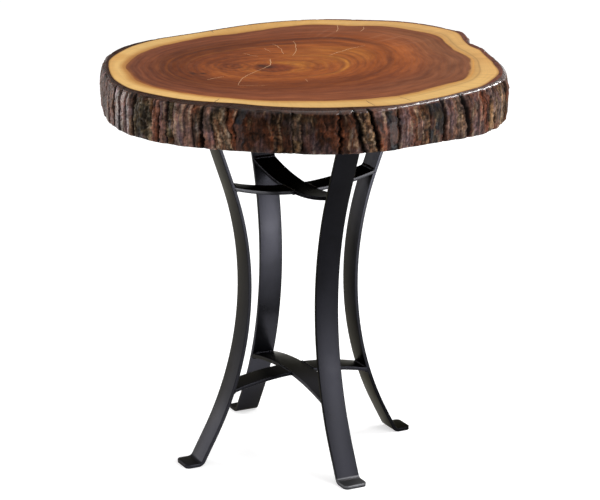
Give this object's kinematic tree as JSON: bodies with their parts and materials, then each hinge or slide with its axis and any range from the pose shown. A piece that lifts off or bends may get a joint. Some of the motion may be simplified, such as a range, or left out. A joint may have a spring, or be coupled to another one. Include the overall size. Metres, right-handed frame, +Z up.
{
  "type": "end table",
  "caption": "Low side table: a live-edge tree slice with furrowed bark on a black base of bent flat-bar legs tied by two arched crosses.",
  "frame": {"origin": "on the floor, under the middle of the table's bounding box", "axes": "+Z up; the long crossbars run along Y with the front leg towards -Y, and the cut crossbars run along X with the right leg towards +X"},
  "size_m": [0.6834, 0.6084, 0.642],
  "materials": {
    "wood": "clear-coated, red-brown heartwood with golden sapwood",
    "bark": "clear-coated furrowed bark, dark brown",
    "black_steel": "satin black coating on mild steel flat bar",
    "screw_steel": "black oxide wood screws"
  },
  "bodies": {
    "root": {"wood_slab": "wood", "bark_rim": "bark", "leg_front": "black_steel", "leg_right": "black_steel", "leg_back": "black_steel", "leg_left": "black_steel", "upper_crossbar_long": "black_steel", "upper_crossbar_left": "black_steel", "upper_crossbar_right": "black_steel", "lower_crossbar_long": "black_steel", "lower_crossbar_left": "black_steel", "lower_crossbar_right": "black_steel", "upper_seam_welds": "black_steel", "lower_seam_welds": "black_steel", "upper_end_welds": "black_steel", "lower_end_welds": "black_steel", "mounting_screws": "screw_steel"}
  },
  "joints": []
}
